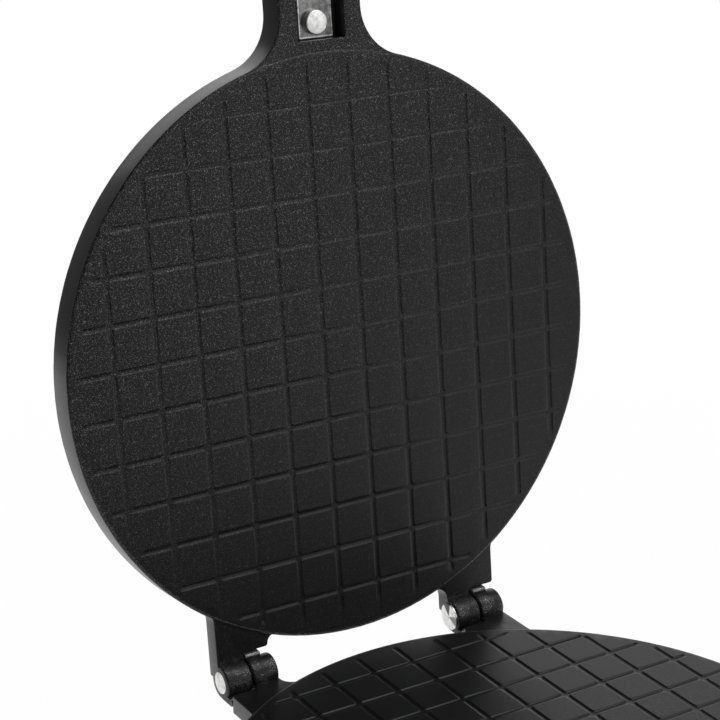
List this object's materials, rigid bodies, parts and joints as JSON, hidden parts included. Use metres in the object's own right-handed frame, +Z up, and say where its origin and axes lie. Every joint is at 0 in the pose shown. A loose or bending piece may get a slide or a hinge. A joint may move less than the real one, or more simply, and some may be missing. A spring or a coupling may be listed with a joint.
{
  "type": "waffle cone maker",
  "caption": "Hinged hob-top waffle cone iron: round cast plates with a square grid, riveted steel tangs, long handle grips and a wire bail latch.",
  "frame": {"origin": "centre of the lower plate, on the surface that it rests on", "axes": "+Z up, +Y from the plate's centre to the hinge, -Y to the handles, X along the hinge axis"},
  "size_m": [0.19, 0.4405, 0.3893],
  "materials": {
    "casting": "black non-stick coat, fine grain, low sheen",
    "plated_steel": "zinc plate, mottled",
    "rivet_steel": "bright, formed by pressing",
    "pin_steel": "turned, bright",
    "grip_moulding": "heat-proof moulding, satin",
    "screw_steel": "zinc plate",
    "bail_steel": "bright drawn wire"
  },
  "bodies": {
    "base": {"lower_plate": "casting", "lower_tang": "plated_steel", "lower_grip": "grip_moulding", "lower_front_rivet": "rivet_steel", "lower_rear_rivet": "rivet_steel", "lower_front_screw": "screw_steel", "lower_rear_screw": "screw_steel", "left_hinge_pin": "pin_steel", "right_hinge_pin": "pin_steel"},
    "lid": {"upper_plate": "casting", "upper_tang": "plated_steel", "upper_grip": "grip_moulding", "upper_front_rivet": "rivet_steel", "upper_rear_rivet": "rivet_steel", "upper_front_screw": "screw_steel", "upper_rear_screw": "screw_steel"},
    "bail": {"latch_bail": "bail_steel"}
  },
  "joints": [
    {"name": "lid_hinge", "type": "hinge", "parent": "base", "child": "lid", "pos_m": [0, 0.1, 0.0114], "axis": [1, 0, 0], "range_deg": [0, 96]},
    {"name": "bail_swing", "type": "hinge", "parent": "base", "child": "bail", "pos_m": [0, -0.272, 0.00665], "axis": [-1, 0, 0], "range_deg": [0, 144]}
  ]
}
